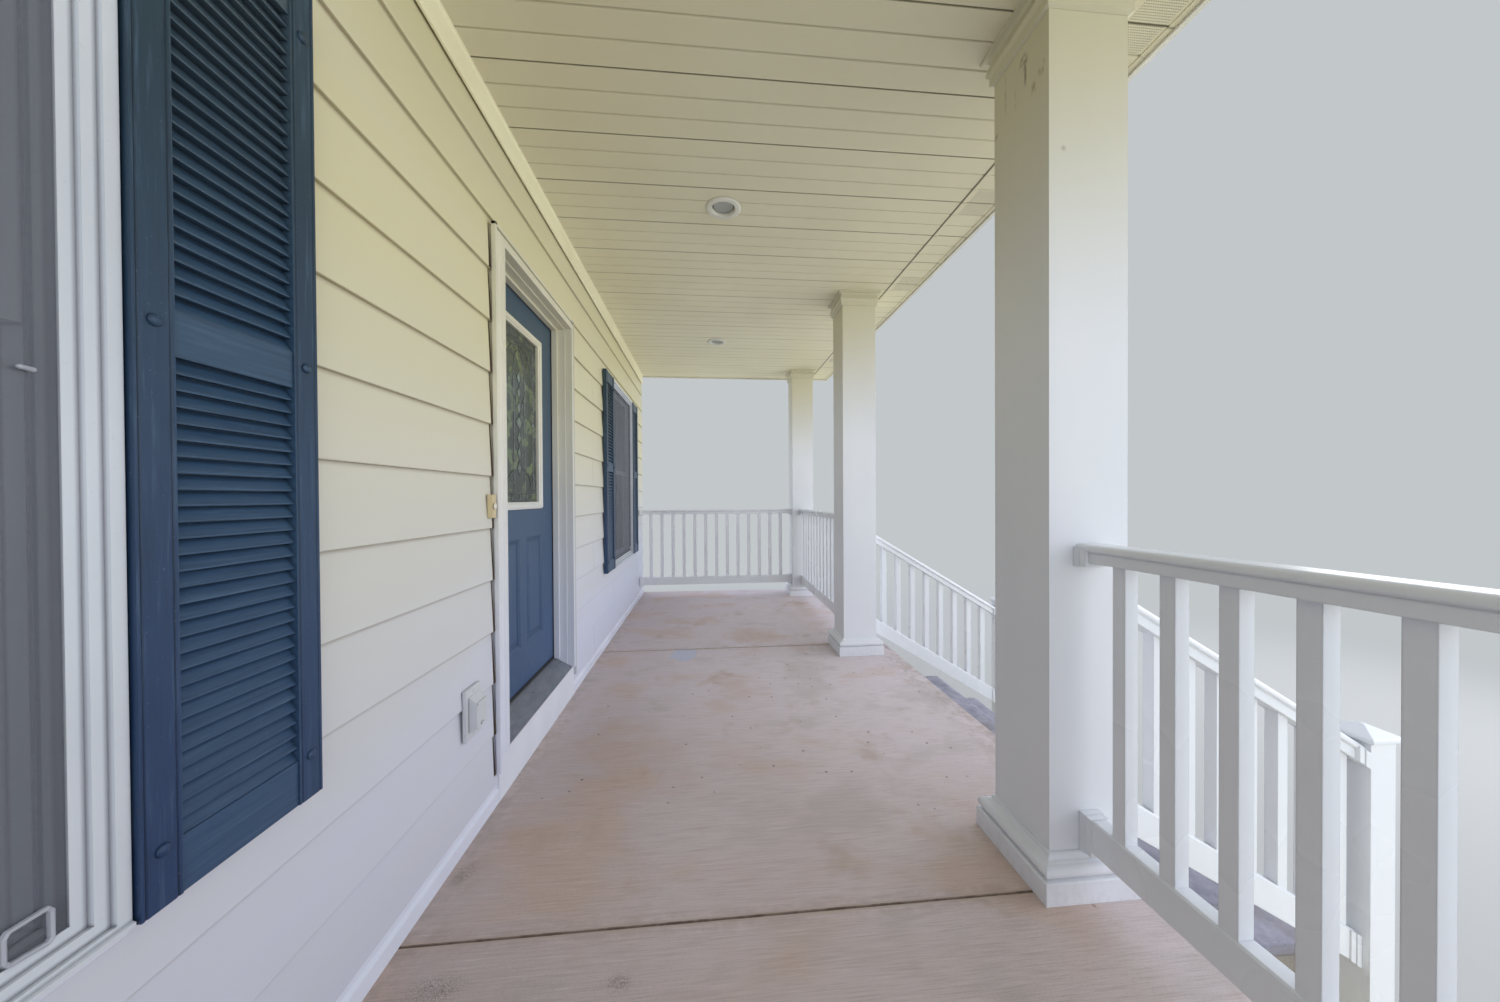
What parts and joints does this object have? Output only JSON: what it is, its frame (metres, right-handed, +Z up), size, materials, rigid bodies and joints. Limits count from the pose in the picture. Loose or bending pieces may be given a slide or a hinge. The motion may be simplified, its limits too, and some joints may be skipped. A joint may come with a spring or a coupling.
{
  "type": "covered front porch with a house door and windows",
  "caption": "Covered porch with square columns, baluster rails, concrete floor, stone steps, lapped wall, shuttered windows and a hinged panelled door.",
  "frame": {"origin": "on the ground, under the middle of the porch floor: midway along it, and midway between the siding and the floor's front edge", "axes": "+X along the house wall, to the right as seen from the yard; +Y into the house; +Z up"},
  "size_m": [6.996, 3.505, 4.5543],
  "materials": {
    "concrete": "broom-finished concrete",
    "foundation_block": "plain masonry",
    "stair_stone": "split bluestone",
    "wall_framing": "sheathed framing, matt",
    "vinyl_siding": "embossed vinyl",
    "ceiling_vinyl": "vinyl panels, satin",
    "door_trim": "painted cream, satin",
    "metal_sill": "worn mill finish",
    "window_vinyl": "white vinyl",
    "window_glass": "clear",
    "screen_mesh": "dark woven mesh",
    "shutter_plastic": "moulded wood grain",
    "column_white": "white, satin",
    "railing_vinyl": "white vinyl",
    "beam_wood": "sawn",
    "white_metal": "white coil coating",
    "roof_covering": "mineral shingles",
    "fitting_plastic": "moulded plastic",
    "door_paint": "slate-blue satin paint",
    "door_glass": "obscure decorative glass",
    "hardware_metal": "satin",
    "sweep_rubber": "matt"
  },
  "bodies": {
    "porch": {"foundation": "foundation_block", "porch_slab": "concrete", "step_base": "concrete", "stair_treads": "stair_stone", "wall_left": "wall_framing", "wall_right": "wall_framing", "wall_over_door": "wall_framing", "sill_base": "door_trim", "lap_siding": "vinyl_siding", "frieze_trim": "vinyl_siding", "base_flashing": "vinyl_siding", "door_casing": "door_trim", "door_frame": "door_trim", "door_threshold": "metal_sill", "window_left": "window_vinyl", "window_right": "window_vinyl", "window_sashes": "window_vinyl", "window_panes": "window_glass", "window_screens": "screen_mesh", "shutters_left": "shutter_plastic", "shutters_right": "shutter_plastic", "columns_left": "column_white", "columns_right": "column_white", "column_mouldings": "column_white", "rail_left": "railing_vinyl", "rail_right": "railing_vinyl", "end_rail_left": "railing_vinyl", "end_rail_right": "railing_vinyl", "stair_rail_left": "railing_vinyl", "stair_rail_right": "railing_vinyl", "newel_posts": "railing_vinyl", "porch_beam": "beam_wood", "porch_ceiling": "ceiling_vinyl", "eave_soffit": "ceiling_vinyl", "eave_boards": "white_metal", "roof_deck": "roof_covering", "ceiling_lights": "white_metal", "doorbell": "fitting_plastic", "outlet_cover": "fitting_plastic", "door_hinges": "hardware_metal"},
    "door": {"door_leaf": "door_paint", "door_light_frame": "door_trim", "door_glass": "door_glass", "door_lockset": "hardware_metal", "door_sweep": "sweep_rubber"}
  },
  "joints": [
    {"name": "door_hinge", "type": "hinge", "parent": "porch", "child": "door", "pos_m": [0.351, 1.286, 1.9765], "axis": [0, 0, -1], "range_deg": [0, 100]}
  ]
}
